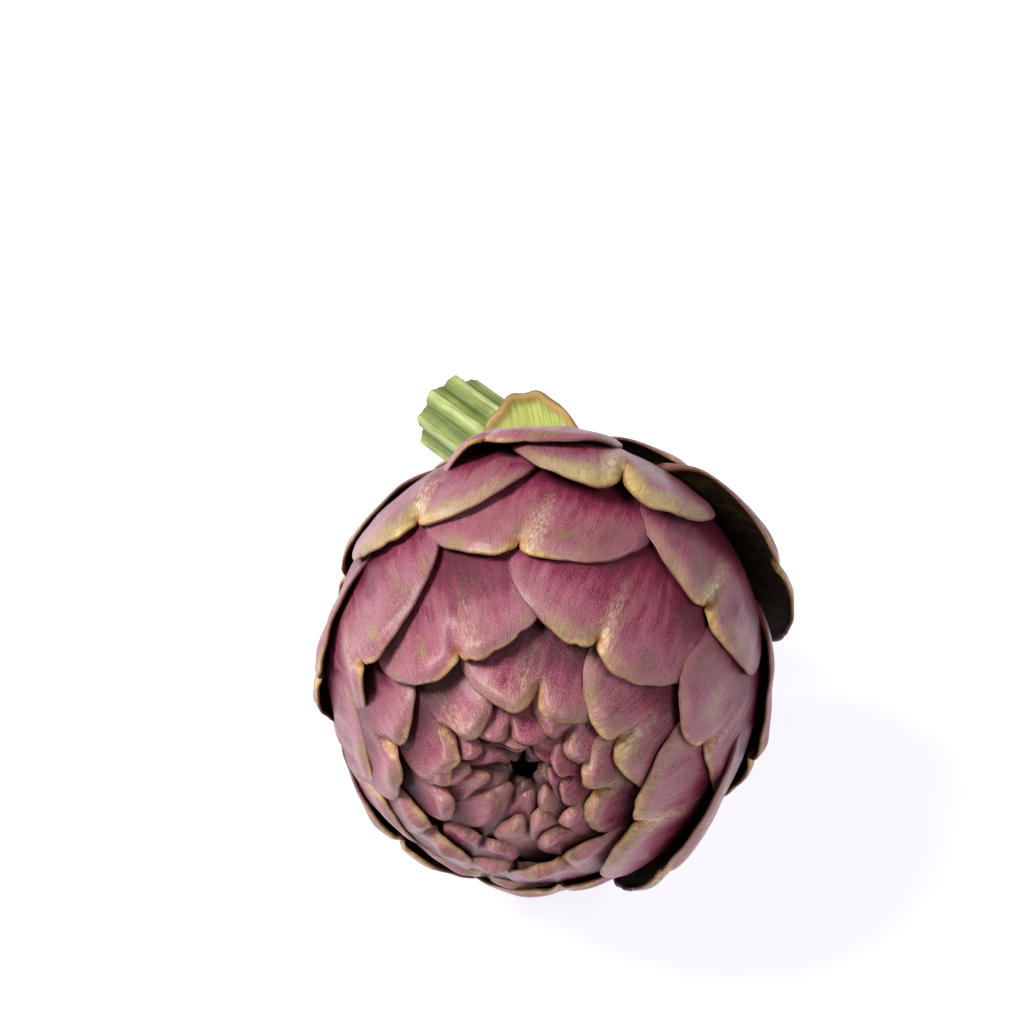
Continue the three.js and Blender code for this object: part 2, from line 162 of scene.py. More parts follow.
line, walked = stem_line()
inwards = STEM_SUNK * (line[0] - line[1]) / np.linalg.norm(line[0] - line[1])
line, walked = np.concatenate([[line[0] + inwards], line]), np.concatenate([[0], walked])
forward = np.gradient(line, axis=0)
forward /= np.linalg.norm(forward, axis=1, keepdims=True)
across = np.cross(forward, [0, 0, 1])
across /= np.linalg.norm(across, axis=1, keepdims=True)
above = np.cross(across, forward)
turn = np.linspace(0, 2 * math.pi, STEM_SIDES, endpoint=False)[None, :]
sway = np.sin(walked / STEM_RIBS["sway_length"])[:, None]
ribs = np.cos(STEM_RIBS["count"] * turn + STEM_RIBS["sway"] * sway)
furrow_turn = STEM_FURROWS["per_rib"] * STEM_RIBS["count"] * turn
furrows = np.cos(furrow_turn + STEM_FURROWS["start"] + STEM_FURROWS["sway"] * sway)
oval = np.sin(2 * turn + walked[:, None] / STEM_OVAL["twist_length"])
radius = STEM_RADIUS + STEM_FLARE["extra"] * np.exp(-walked / STEM_FLARE["length"])[:, None]
radius = radius + STEM_RIBS["height"] * ribs + STEM_FURROWS["height"] * furrows
radius = radius + STEM_OVAL["extra"] * oval * ramp(0, STEM_OVAL["full"], walked)[:, None]
rings = line[:, None] + across[:, None] * (radius * np.cos(turn))[..., None]
rings = rings + above[:, None] * (radius * np.sin(turn))[..., None]

# The cut is made of rings that shrink towards the pith. It has dried and sunk a little, and the
# skin round it stands up as a low lip.
shares = 1 - np.arange(1, CUT_RINGS + 1) / (CUT_RINGS + 0.25)
lip = CUT_LIP["height"] * (shares > CUT_LIP["from"])
sunk = (lip - CUT_HOLLOW * (1 - shares**4))[:, None, None]
cut = line[-1] + (rings[-1] - line[-1]) * shares[:, None, None] + forward[-1] * sunk
rows = len(line) + CUT_RINGS
stem_faces, number = tube_faces(rows, STEM_SIDES)
stem_faces += [number[-1].tolist(), number[0][::-1].tolist()]
on_cut = np.concatenate([np.zeros(len(line)), np.ones(CUT_RINGS)])
stem = make_piece(
    "stem_stalk",
    np.concatenate([rings, cut]).reshape(-1, 3),
    stem_faces,
    {
        "around": np.broadcast_to(turn * STEM_RADIUS, (rows, STEM_SIDES)).ravel(),
        "along": np.repeat(np.concatenate([walked, np.full(CUT_RINGS, walked[-1])]), STEM_SIDES),
        "rib": np.concatenate([ribs, np.broadcast_to(shares[:, None], cut.shape[:2])]).ravel(),
        "cut": np.repeat(on_cut, STEM_SIDES),
    },
)

# Fresh stalk skin: satin and slightly waxy, darker green in its furrows, whitish on the ribs,
# with fibres that run lengthwise. The cut shows pale pith with a dry brown rim.
stalk_skin, tree = empty_material("fresh_stalk_skin")
names = ("around", "along", "rib", "cut")
around, along_stalk, rib, is_cut = (add_node(tree, "Attribute", attribute_name=n, out=2) for n in names)
by_fibre = add_node(tree, "Math", {0: around, 1: 1 / STALK_FIBRE["spacing"]}, operation="MULTIPLY")
by_length = add_node(tree, "Math", {0: along_stalk, 1: 1 / STALK_FIBRE["length"]}, operation="MULTIPLY")
stretched = add_node(tree, "CombineXYZ", {0: by_fibre, 1: by_length})
fibres = add_node(tree, "TexNoise", {"Vector": stretched, "Scale": 1.0, "Detail": 4.0})
object_place = add_node(tree, "TexCoord", out=3)
mottling = add_node(tree, "TexNoise", {"Vector": object_place, "Scale": 1000 / STALK_MOTTLE, "Detail": 5.0})
ridge = add_node(tree, "Math", {0: rib, 1: 0.32, 2: fibres}, operation="MULTIPLY_ADD")
greener = add_node(tree, "MapRange", {0: ridge, 1: 0.15, 2: 0.75})
downy = add_node(tree, "MapRange", {0: ridge, 1: 0.62, 2: 0.98, 4: 0.85})
skin = colour(STEM_FURROW)
for share, over in ((greener, STEM_GREEN), (downy, STEM_DOWN)):
    skin = add_node(tree, "Mix", {0: share, 6: skin, 7: colour(over)}, out=2, data_type="RGBA")
pith_edge = add_node(tree, "MapRange", {0: rib, 1: 0.72, 2: 0.86})
pith = add_node(tree, "Mix", {0: pith_edge, 6: colour(CUT_PITH), 7: colour(CUT_DRY)}, out=2, data_type="RGBA")
skin = add_node(tree, "Mix", {0: is_cut, 6: skin, 7: pith}, out=2, data_type="RGBA")
shade = add_node(tree, "MapRange", {0: mottling, 1: 0.3, 2: 0.7, 3: 0.78, 4: 1.12})
skin = add_node(tree, "VectorMath", {0: skin, "Scale": shade}, operation="SCALE")
bumps = add_node(tree, "Math", {0: fibres, 1: 0.6, 2: mottling}, operation="MULTIPLY_ADD")
raised = add_node(tree, "Bump", {"Height": bumps, "Strength": 0.7, "Distance": 0.0004})
gloss = add_node(tree, "MapRange", {0: fibres, 1: 0.2, 2: 0.8, 3: 0.5, 4: 0.68})
shader = add_node(
    tree, "BsdfPrincipled", {"Base Color": skin, "Roughness": gloss, "Normal": raised, "IOR": 1.45}
)
add_node(tree, "OutputMaterial", {"Surface": shader})
stem.data.materials.append(stalk_skin)
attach(stem, "root")
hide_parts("stem")


# Small green bracts.
# The lowest leaves of the head: a few thick green tongues that spread from a low lumpy swelling at
# the top of the stem, with a curled orange-tan rim. They go on down the spiral of the head's bracts.

GOLDEN_TURN = 137.508
FIRST_TURN = 15.8
GREEN_LENGTHS = {-26: 31.5, -25: 13, -24: 23, -23: 21, -22: 15, -21: 17}
GREEN = {"turn": -10, "longest": 34, "half_width": 13.5, "narrowest": 0.45, "cupping": 0.02, "bend": 7}
GREEN_FORM = {"foot": 0.75, "widest": 0.5, "blunt": 0.6, "arch": 0.12, "root": 2, "edge": 0.9, "round": 1.1}
GREEN_RIPPLES = {"tip": 0.5, "tip_per_mm": 0.9, "blade": 0.3, "blade_per_mm": 0.35}
GREEN_GRID = {"across": 15, "along": 45, "finer_at_tip": 0.8}
TAN_CURL = {"height": 1.6, "width": 3.5, "from": 0.55, "full": 0.9}
SWELLING = {"radius": 16, "top": -46.4, "bottom": -50.5, "sunk": 4, "columns": 144}
SWELLING_LUMPS = {"over_ribs": 0.45, "odd": 0.3, "odd_count": 4}
VEIN = {"spacing": 0.8, "length": 12}
LEAF_MOTTLE = 4.76
GREEN_OLIVE = "6b6f33"
GREEN_PALE = "b9bf66"
GREEN_VEIN = "82903f"
CURL_TAN = "c8945c"
CURL_GREEN = "a2994f"
CURL_BROWN = "6b4426"


def both_sides(shares):
    """Grid lines from -1 to 1, the same on both sides of the middle."""
    shares = np.array(shares)
    return np.concatenate([-shares[:0:-1], shares])


def halved(lines):
    """The same grid lines with one more between each two."""
    between = (lines[1:] + lines[:-1]) / 2
    return np.sort(np.concatenate([lines, between]))


def leaf_faces(rows, columns, first):
    """Faces of a closed leaf: an outer grid of points, an inner one after it, and the rim."""
    outer = first + np.arange(rows * columns).reshape(rows, columns)
    inner = outer + rows * columns
    outwards = [outer[:-1, :-1], outer[:-1, 1:], outer[1:, 1:], outer[1:, :-1]]
    inwards = [inner[:-1, :-1], inner[1:, :-1], inner[1:, 1:], inner[:-1, 1:]]
    faces = [np.stack(corners, -1).reshape(-1, 4) for corners in (outwards, inwards)]
    rim = np.concatenate([outer[0], outer[1:, -1], outer[-1, -2::-1], outer[-2:0:-1, 0]])
    after = np.roll(rim, -1)
    faces.append(np.stack([after, rim, rim + rows * columns, after + rows * columns], -1))
    return np.concatenate(faces).tolist()


def lies_from_rim(x, y):
    """The distance in millimetres of each grid point from the leaf's free edge."""
    edge = np.concatenate([np.stack([x[:, 0], y[:, 0]], -1), np.stack([x[-1], y[-1]], -1)])
    edge = np.concatenate([edge, np.stack([x[::-1, -1], y[::-1, -1]], -1)])
    points = np.stack([x.ravel(), y.ravel()], -1)[:, None]
    start, step = edge[:-1], np.diff(edge, axis=0)
    length = np.maximum((step**2).sum(-1), 1e-9)
    share = np.clip(((points - start) * step).sum(-1) / length, 0, 1)[..., None]
    return np.sqrt(((points - start - step * share) ** 2).sum(-1)).min(1).reshape(x.shape)


def green_leaf(index):
    """The points, values and grid size of one green bract, which bends back from the head."""
    across_lines = both_sides(np.linspace(0, 1, GREEN_GRID["across"]))
    along_lines = np.linspace(0, 1, GREEN_GRID["along"]) ** GREEN_GRID["finer_at_tip"]
    u, v = np.meshgrid(across_lines, along_lines)
    length = GREEN_LENGTHS[index]
    size = length / GREEN["longest"]
    widest = GREEN_FORM["widest"]
    breadth = GREEN_FORM["foot"] + (1 - GREEN_FORM["foot"]) * np.sin(math.pi * np.minimum(v, widest))
    rounding = np.sqrt(1 - GREEN_FORM["blunt"] * (np.maximum(v - widest, 0) / widest) ** 2)
    share = GREEN["narrowest"] + (1 - GREEN["narrowest"]) * size
    x = u * GREEN["half_width"] * share * breadth * rounding
    ripple = GREEN_RIPPLES["tip"] * size * np.sin(GREEN_RIPPLES["tip_per_mm"] * x + index) * v**3
    y = length * v * (1 - GREEN_FORM["arch"] * u * u) + ripple
    from_rim = lies_from_rim(x, y)
    middle = (SWELLING["top"] + SWELLING["bottom"]) / 2
    back = middle - GREEN["bend"] * (v * size) ** 2 + GREEN["cupping"] * x * x
    curled = ramp(TAN_CURL["width"], 0, from_rim) * ramp(TAN_CURL["from"], TAN_CURL["full"], v)
    back = back + TAN_CURL["height"] * size * curled
    back = back + GREEN_RIPPLES["blade"] * np.sin(GREEN_RIPPLES["blade_per_mm"] * x + index)
    full = GREEN_FORM["root"] + (GREEN_FORM["edge"] - GREEN_FORM["root"]) * v
    to_edge = 1 - np.minimum(from_rim / GREEN_FORM["round"], 1)
    thick = full * np.sqrt(np.clip(1 - to_edge**2, 0.02, 1))
    out = SWELLING["radius"] - SWELLING["sunk"] + y
    angle = math.radians(FIRST_TURN + GOLDEN_TURN * index + GREEN["turn"])
    ahead = out * math.cos(angle) - x * math.sin(angle)
    aside = out * math.sin(angle) + x * math.cos(angle)
    points = []
    for face in (0, 1):
        z = back + (full - thick) / 2 + face * thick
        points.append(placed(np.stack([ahead, aside, z], -1).reshape(-1, 3)))
    values = {"across": x, "along": y, "from_rim": from_rim, "share": v}
    return np.concatenate(points), {k: np.tile(a.ravel(), 2) for k, a in values.items()}, u.shape


def green_swelling():
    """The swelling that the small bracts grow from, which tapers into the stem."""
    radius, top, bottom, columns = (SWELLING[k] for k in ("radius", "top", "bottom", "columns"))

    # Its section: how far out, and how high.
    narrow = radius - 7
    profile = [(narrow, bottom - 6), (radius - 4.6, bottom - 3.2), (radius - 2.4, bottom - 0.9)]
    profile += [(radius - 0.9, bottom + 1), (radius - 0.4, (top + bottom) / 2 + 0.4)]
    profile += [(radius - 1.2, top - 0.5), (radius - 2.8, top + 0.6), (narrow, top + 2.5)]
    at = np.linspace(0, 2 * math.pi, columns, endpoint=False)
    lumps = SWELLING_LUMPS["over_ribs"] * np.cos(STEM_RIBS["count"] * at)
    lumps = lumps + SWELLING_LUMPS["odd"] * np.sin(SWELLING_LUMPS["odd_count"] * at + 1)
    rings = []
    for r, z in profile:
        rings.append(np.stack([(r + lumps) * np.cos(at), (r + lumps) * np.sin(at), 0 * at + z], -1))
    number = np.arange(len(profile) * columns).reshape(len(profile), columns)
    beside = np.roll(number, -1, axis=1)
    under, over = np.roll(number, -1, axis=0), np.roll(beside, -1, axis=0)
    faces = np.stack([number, beside, over, under], -1).reshape(-1, 4)

    # Its skin is like a leaf's lower part, far from any rim.
    values = {"across": narrow * np.tile(at, len(profile)), "along": np.zeros(number.size)}
    values |= {"from_rim": np.full(number.size, narrow), "share": np.full(number.size, 0.4)}
    return placed(np.concatenate(rings)), values, faces.tolist()


def joined(leaves, before=()):
    """One list of points, faces and values from leaves on grids, after those of other parts."""
    parts = list(before)
    first = sum(len(points) for points, _, _ in parts)
    for points, values, (rows, columns) in leaves:
        parts.append((points, values, leaf_faces(rows, columns, first)))
        first += len(points)
    values = {key: np.concatenate([v[key] for _, v, _ in parts]) for key in parts[0][1]}
    return np.concatenate([p for p, _, _ in parts]), [f for _, _, fs in parts for f in fs], values


green_leaves = [green_leaf(index) for index in GREEN_LENGTHS]
green_bracts = make_piece("green_basal_bracts", *joined(green_leaves, [green_swelling()]))

# Green leaf flesh: satin, olive at the foot and pale yellow-green outwards, with lengthwise veins,
# and a corky orange-tan rim where the edge has dried and curled.
green_leaf_flesh, tree = empty_material("green_leaf_flesh")
names = ("across", "along", "from_rim", "share")
across_leaf, along_leaf, from_rim, share = (
    add_node(tree, "Attribute", attribute_name=n, out=2) for n in names
)
by_vein = add_node(tree, "Math", {0: across_leaf, 1: 1 / VEIN["spacing"]}, operation="MULTIPLY")
by_length = add_node(tree, "Math", {0: along_leaf, 1: 1 / VEIN["length"]}, operation="MULTIPLY")
stretched = add_node(tree, "CombineXYZ", {0: by_vein, 1: by_length})
veins = add_node(tree, "TexNoise", {"Vector": stretched, "Scale": 1.0, "Detail": 3.0})
object_place = add_node(tree, "TexCoord", out=3)
mottling = add_node(tree, "TexNoise", {"Vector": object_place, "Scale": 1000 / LEAF_MOTTLE, "Detail": 4.0})
paler = add_node(tree, "Math", {0: share, 1: 0.75, 2: mottling}, operation="MULTIPLY_ADD")
paler = add_node(tree, "MapRange", {0: paler, 1: 0.5, 2: 1.05})
in_vein = add_node(tree, "MapRange", {0: veins, 1: 0.52, 2: 0.36, 4: 0.7})
ragged = add_node(tree, "Math", {0: mottling, 1: -2.2, 2: from_rim}, operation="MULTIPLY_ADD")
ragged = add_node(tree, "Math", {0: veins, 1: -2.2, 2: ragged}, operation="MULTIPLY_ADD")
corky = add_node(tree, "MapRange", {0: ragged, 1: 0.4, 2: -0.8, 4: 0.85})
outermost = add_node(tree, "Math", {0: veins, 1: 2.6, 2: from_rim}, operation="MULTIPLY_ADD")
outermost = add_node(tree, "MapRange", {0: outermost, 1: 2.4, 2: 1.5, 4: 0.8})
dried = add_node(tree, "MapRange", {0: from_rim, 1: 0.9, 2: 0.1, 4: 1.5})
dried = add_node(tree, "Math", {0: dried, 1: mottling}, operation="MULTIPLY")
flesh = colour(GREEN_OLIVE)
for share, over in (
    (paler, GREEN_PALE),
    (in_vein, GREEN_VEIN),
    (corky, CURL_TAN),
    (outermost, CURL_GREEN),
    (dried, CURL_BROWN),
):
    flesh = add_node(tree, "Mix", {0: share, 6: flesh, 7: colour(over)}, out=2, data_type="RGBA")
raised = add_node(tree, "Bump", {"Height": veins, "Strength": 0.6, "Distance": 0.0003})
shader = add_node(
    tree, "BsdfPrincipled", {"Base Color": flesh, "Roughness": 0.5, "Normal": raised, "IOR": 1.45}
)
add_node(tree, "OutputMaterial", {"Surface": shader})
green_bracts.data.materials.append(green_leaf_flesh)
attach(green_bracts, "root")
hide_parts("basal_bracts")


# Outer purple bracts.
# The head's big scales: leathery notched leaves that overlap in a golden-angle spiral, from the
# stem's end up to a little past the head's widest part. Some stand off and show dark inner faces.

# The head's outline: an ellipsoid that opens a little, is flatter at the stem and dimpled at its
# tip. The tip and the belly lean upwards.
EQUATOR_RADIUS = 47
HALF_HEIGHT = 52.5
OPENING = {"share": 0.02, "from": 38, "full": 98, "closes": 118, "closed": 150}
FLATTENING = {"share": 0.13, "from": 115, "full": 170}
DIMPLE = {"depth": 5.5, "width": 7}
LEAN = {"up": 4, "across": -1.5, "full": 5, "fades": 14}
BELLY = {"up": 2.6, "from": 58, "full": 92, "fades": 125, "gone": 155}

# The spiral: at what angle from the bud's middle the tips lie, and how deep bracts cover each other.
FIRST_TIP = 57
TIPS_CLOSE_IN = 0.067
ROUND_HOLE = {"from": 24, "close_in": 0.11}
TIPS_MOVE_OUT = 3.7
LAYER = {"each": 0.35, "pressed": 3, "soon": 0.18}

# One bract: its width, its reach from the notch down, the notch and the rounding of its lobes.
HALF_WIDTH = {"outer": 28, "inner": 7, "fades": 13.5}
NARROW_AT_STEM = {"from": -14, "each": 0.04}
LENGTH_BY_WIDTH = 0.6
REACH = 38
NARROW_FOOT = 0.6
NOTCH = {"depth": 4.6, "width": 6.4}
CROWN = 0.75
ROUNDNESS = 2.3
SHOULDER = 0.76
RIM_CURL = {"depth": 0.55, "width": 3, "power": 1.5}
TIP_STAND = {"off": 0.8, "from": 0.1}
FLARES_FROM = 0.55
LEAF_THICKNESS = {"edge": 0.8, "root": 2.6, "thins_from": 0.45, "to": 0.95, "round": 0.6, "small": 0.75}
OUTER = range(-20, -7)

# How the forms of a blade change from the broad bracts to those of the bud, by their number.
BUDWARD = {"from": 9, "full": 16, "notch": 0.4, "stand": 0.7, "curl": 1.4}
SUNKEN_BUD = {"depth": 1.5, "from": 8, "full": 12}
PUFFY = {"broad": 0.6, "more": 2.4, "from": 5, "full": 18}
CREASED = {"broad": 0.9, "more": 1.6}

# The forms themselves, on a bract of full size.
LOBE = {"aside": 7, "width": 5, "length": 11, "full": 3, "from_rim": 3.4}
CREASE = {"width": 1.1, "length": 9}
KEEL = {"height": 0.3, "width": 2.2, "starts": 26, "full": 14, "fades": 8, "gone": 2}
FOLD = {"width": 14, "from": 0.3, "full": 0.8}
SLOW_WAVES = {"height": 0.35, "across": 0.24, "along": 0.16}
SHORT_WAVES = {"height": 0.12, "across": 0.8, "along": 0.1}
WAVES_RISE = {"from": 0.2, "full": 0.7}
EDGE_WAVES = ((0.16, 0.4), (0.09, 1.1))
NICKS = {"count": 5, "reach": 0.9, "shallowest": -0.2, "deepest": 0.5, "width": 0.7}
LOPSIDED = {"most": 0.7, "over": 5}
SIDE_WAVES = {"share": 0.02, "per_mm": 0.3}
FIRST_SEED = 400
USUAL_GILDING = {"broad": 0.6, "less": 0.25, "from": 12, "full": 24}

# How single bracts depart from the spiral: turned, slid towards the stem and skewed by angles,
# standing off and flared out at the tip by millimetres, wider or deeper notched than usual by a
# share, with one lobe longer than the other, or folded at the midline so that one side drops.
# Gilded is how far the golden tan of the rim has spread over the lobes.
DEPARTURES = {
    -18: {"lift": -1.5},
    -17: {"lift": -2.5},
    -16: {"turn": -4.6, "slide": 3.2, "lift": 1.2, "skew": -5, "width": 0.92, "notch": 1.1, "gilded": 0.5},
    -15: {"lift": -1.5},
    -14: {"lift": -1},
    -13: {"turn": 1, "slide": -13, "lift": 0.6, "skew": -8, "width": 0.9, "notch": 1.4, "flare": 1,
          "fold": 6, "gilded": 0.15},
    -12: {"lift": 0.2},
    -11: {"turn": 4, "slide": 5, "lift": 2.8, "skew": 16, "width": 0.9, "notch": 0.7, "flare": 2.5,
          "gilded": 0.5},
    -10: {"turn": 8.2, "slide": 10.7, "lift": -0.6, "skew": -10, "notch": 0.3, "flare": 1.2, "gilded": 0.9},
    -9: {"lift": -0.5},
    -8: {"turn": -1.5, "slide": -7, "lift": 1.6, "skew": 5, "width": 0.8, "notch": 2, "gilded": 1.3},
    -7: {"lift": -1.5},
    -6: {"turn": -7.1, "slide": 5.1, "lift": 0.7, "skew": 9, "notch": 0.8, "gilded": 0.7},
    -5: {"turn": -2.9, "slide": -3, "skew": -3, "width": 0.88, "gilded": 1.1},
    -4: {"lift": -2.5},
    -3: {"turn": -2.9, "slide": 0.3, "lift": -0.5, "skew": -2, "width": 0.84, "gilded": 0.8},
    -2: {"turn": -0.9, "slide": 7.7, "lift": -2, "skew": -21, "notch": 0.6, "flare": 2.5, "gilded": 0.7},
    -1: {"turn": 2, "slide": -4.8, "lift": -1.1, "skew": 25, "notch": 0.6, "flare": 2.2},
    0: {"slide": 2.2, "lift": -0.2, "skew": -7, "width": 0.94, "gilded": 0.65},
    1: {"turn": -2.4, "slide": 3.4, "lift": -4, "notch": 0.3, "flare": 2.5},
    2: {"turn": -2.3, "slide": 0.5, "lift": -0.5, "skew": 5, "width": 0.75, "notch": 1.1,
        "lopsided": 4, "gilded": 0.5},
    3: {"turn": 6.2, "slide": -1, "lift": 0.8, "skew": 6, "width": 1.1, "notch": 1.2, "fold": 5,
        "gilded": 0.3},
    4: {"turn": 2.2, "slide": 3.1, "lift": -2, "notch": 0.9},
    5: {"turn": 1, "slide": -0.8, "width": 0.92, "gilded": 0.65},
    6: {"turn": 2.3, "slide": 4.6, "lift": -2.4, "width": 1.1},
    7: {"turn": 5.4, "slide": -3.9, "lift": -0.4, "notch": 1.2, "gilded": 0.8},
    8: {"turn": 1.1, "skew": 3, "width": 0.92, "notch": 0.8, "gilded": 0.35},
    9: {"turn": 7.9, "slide": 13, "lift": -1.8},
    10: {"turn": -1.1, "slide": -1.4, "lift": -0.3, "skew": 1, "gilded": 0.8},
    11: {"turn": 5.1, "slide": 0.7, "lift": 0.4, "notch": 1.6, "gilded": 0.5},
    12: {"turn": -2.6, "slide": -0.9},
    13: {"turn": -4.3, "slide": -1.9, "lift": 0.3, "skew": 3, "width": 1.19, "notch": 1.5, "gilded": 0.8},
    14: {"turn": 5, "slide": 4.5},
    15: {"turn": 5.2, "slide": -1.5, "gilded": 0.9},
    16: {"turn": 0.8, "slide": -4, "lift": 0.3, "skew": 16, "width": 1.15, "notch": 1.8, "gilded": 0.8},
    17: {"turn": 1.3, "slide": 8.9, "notch": 0.7},
    18: {"slide": 1.1},
    19: {"slide": -1.7},
    21: {"turn": -10.7, "slide": -0.4},
    22: {"turn": 11.6, "slide": 4.2},
}

# Grid lines of a broad bract, closer together at its midline, its rim and its tip.
BROAD_ACROSS = (0, 0.02, 0.05, 0.09, 0.14, 0.2, 0.27, 0.35, 0.43, 0.51, 0.59, 0.67)
BROAD_ACROSS += (0.74, 0.8, 0.85, 0.89, 0.925, 0.95, 0.97, 0.985, 0.995, 1)
BROAD_ALONG = (0, 0.12, 0.22, 0.3, 0.38, 0.45, 0.51, 0.57, 0.62, 0.67, 0.71, 0.75, 0.785, 0.815)
BROAD_ALONG += (0.845, 0.87, 0.892, 0.912, 0.93, 0.945, 0.958, 0.969, 0.978, 0.986, 0.992, 0.997, 1)


def envelope(polar):
    """Distance from the head's centre to its bracts' tips, at a polar angle in degrees."""
    across = np.sin(np.radians(polar)) / EQUATOR_RADIUS
    along = np.cos(np.radians(polar)) / HALF_HEIGHT
    opens = np.clip((polar - OPENING["from"]) / (OPENING["full"] - OPENING["from"]), 0, 1)
    opened = OPENING["share"] * opens * (1 - ramp(OPENING["closes"], OPENING["closed"], polar))
    flat = FLATTENING["share"] * ramp(FLATTENING["from"], FLATTENING["full"], polar)
    dimple = DIMPLE["depth"] * np.exp(-((polar / DIMPLE["width"]) ** 2))
    return (1 + opened) * (1 - flat) / np.hypot(across, along) - dimple


def departs(index, key, usual=0):
    """How one bract departs from the rule, or what is usual."""
    return DEPARTURES.get(index, {}).get(key, usual)


def tip_angle(index):
    """The polar angle of a bract's tip: the tips close in towards the bud and move out from it."""
    round_hole = ROUND_HOLE["close_in"] * max(index - ROUND_HOLE["from"], 0)
    inwards = FIRST_TIP * math.exp(-TIPS_CLOSE_IN * min(index, ROUND_HOLE["from"]) - round_hole)
    outwards = FIRST_TIP - TIPS_MOVE_OUT * index
    return (inwards if index > 0 else outwards) + departs(index, "slide")


def index_at(polar):
    """The number of the bract whose tip lies at a polar angle, which needn't be a whole one."""
    closed_in = np.log(FIRST_TIP / np.maximum(polar, 2))
    past = np.maximum(closed_in - TIPS_CLOSE_IN * ROUND_HOLE["from"], 0)
    inwards = (closed_in - past) / TIPS_CLOSE_IN + past / ROUND_HOLE["close_in"]
    outwards = (FIRST_TIP - polar) / TIPS_MOVE_OUT
    return np.where(polar < FIRST_TIP, inwards, outwards)


def covered_depth(later):
    """How deep a bract lies where so many later ones cover it, which press it against the bud."""
    pressed = LAYER["pressed"] * (1 - np.exp(-LAYER["soon"] * np.maximum(later, 0)))
    return np.where(later > 0, pressed, LAYER["each"] * later)


def half_width(index):
    """Half the width of a bract: broad up to the bud, and narrower at both ends of the spiral."""
    broad = math.exp(-((max(index - 1, 0) / HALF_WIDTH["fades"]) ** 2))
    wide = HALF_WIDTH["inner"] + (HALF_WIDTH["outer"] - HALF_WIDTH["inner"]) * broad
    return wide * (1 - NARROW_AT_STEM["each"] * max(NARROW_AT_STEM["from"] - index, 0))


def budward(index):
    """From 0 on the broad bracts to 1 on those of the closed bud."""
    return ramp(BUDWARD["from"], BUDWARD["full"], index)


def bract_outline(index, u, v):
    """Where grid points lie on a bract: x across it, and y along it from the notch."""
    wide = half_width(index) * departs(index, "width", 1)
    size = (half_width(index) / HALF_WIDTH["outer"]) ** LENGTH_BY_WIDTH
    crown = CROWN * wide
    lobes = NOTCH["depth"] * size
    reach = REACH * size

    def rounded(share):
        return (1 - np.minimum(np.abs(share), 1) ** ROUNDNESS) ** (1 / ROUNDNESS)

    def top_at(across):
        return lobes - crown * (1 - rounded(across * SHOULDER))

    level = -reach + (top_at(1.0) + reach) * v
    up_crown = np.clip((level - lobes + crown) / crown, 0, 1)
    foot = NARROW_FOOT + (1 - NARROW_FOOT) * ramp(-reach, lobes - crown, level)
    x = u * wide * np.where(up_crown > 0, rounded(up_crown), foot)
    into_notch = np.maximum(1 - np.abs(x) / (NOTCH["width"] * size), 0)
    deeper = departs(index, "notch", 1) + BUDWARD["notch"] * budward(index)
    cleft = lobes * deeper * (1 - np.sqrt(1 - into_notch**2)) * v**4
    y = -reach + (top_at(u) + reach) * v - cleft
    return x, y, size


def leaned(points):
    """The bud's tip leans off the axis, and the belly lies a little above it."""
    angle = np.degrees(np.arccos(points[:, 2] / np.linalg.norm(points, axis=1)))
    tip = 1 - ramp(LEAN["full"], LEAN["fades"], angle)
    belly = ramp(BELLY["from"], BELLY["full"], angle) * (1 - ramp(BELLY["fades"], BELLY["gone"], angle))
    return points + np.stack([LEAN["up"] * tip + BELLY["up"] * belly, LEAN["across"] * tip, 0 * tip], -1)


def wavering(index, x, y, v, size, chance, waves):
    """The outline with a wavering, nicked edge, and with one lobe a little longer than the other."""
    lopsided = chance.uniform(-LOPSIDED["most"], LOPSIDED["most"]) + departs(index, "lopsided")
    wavers = sum(h * np.sin(per_mm * x / size + w) for (h, per_mm), w in zip(EDGE_WAVES, waves))
    places = chance.uniform(-NICKS["reach"], NICKS["reach"], NICKS["count"])
    depths = chance.uniform(NICKS["shallowest"], NICKS["deepest"], NICKS["count"])
    for place, depth in zip(places, depths):
        from_nick = (x - place * half_width(index)) / NICKS["width"]
        wavers = wavers - max(depth, 0) * np.exp(-(from_nick**2))
    y = y + size * v**4 * wavers
    y = y + size * v**4 * lopsided * np.tanh(x / (LOPSIDED["over"] * size))
    side_waves = SIDE_WAVES["share"] * np.sin(SIDE_WAVES["per_mm"] * y + waves[2])
    return x * (1 + side_waves * v), y


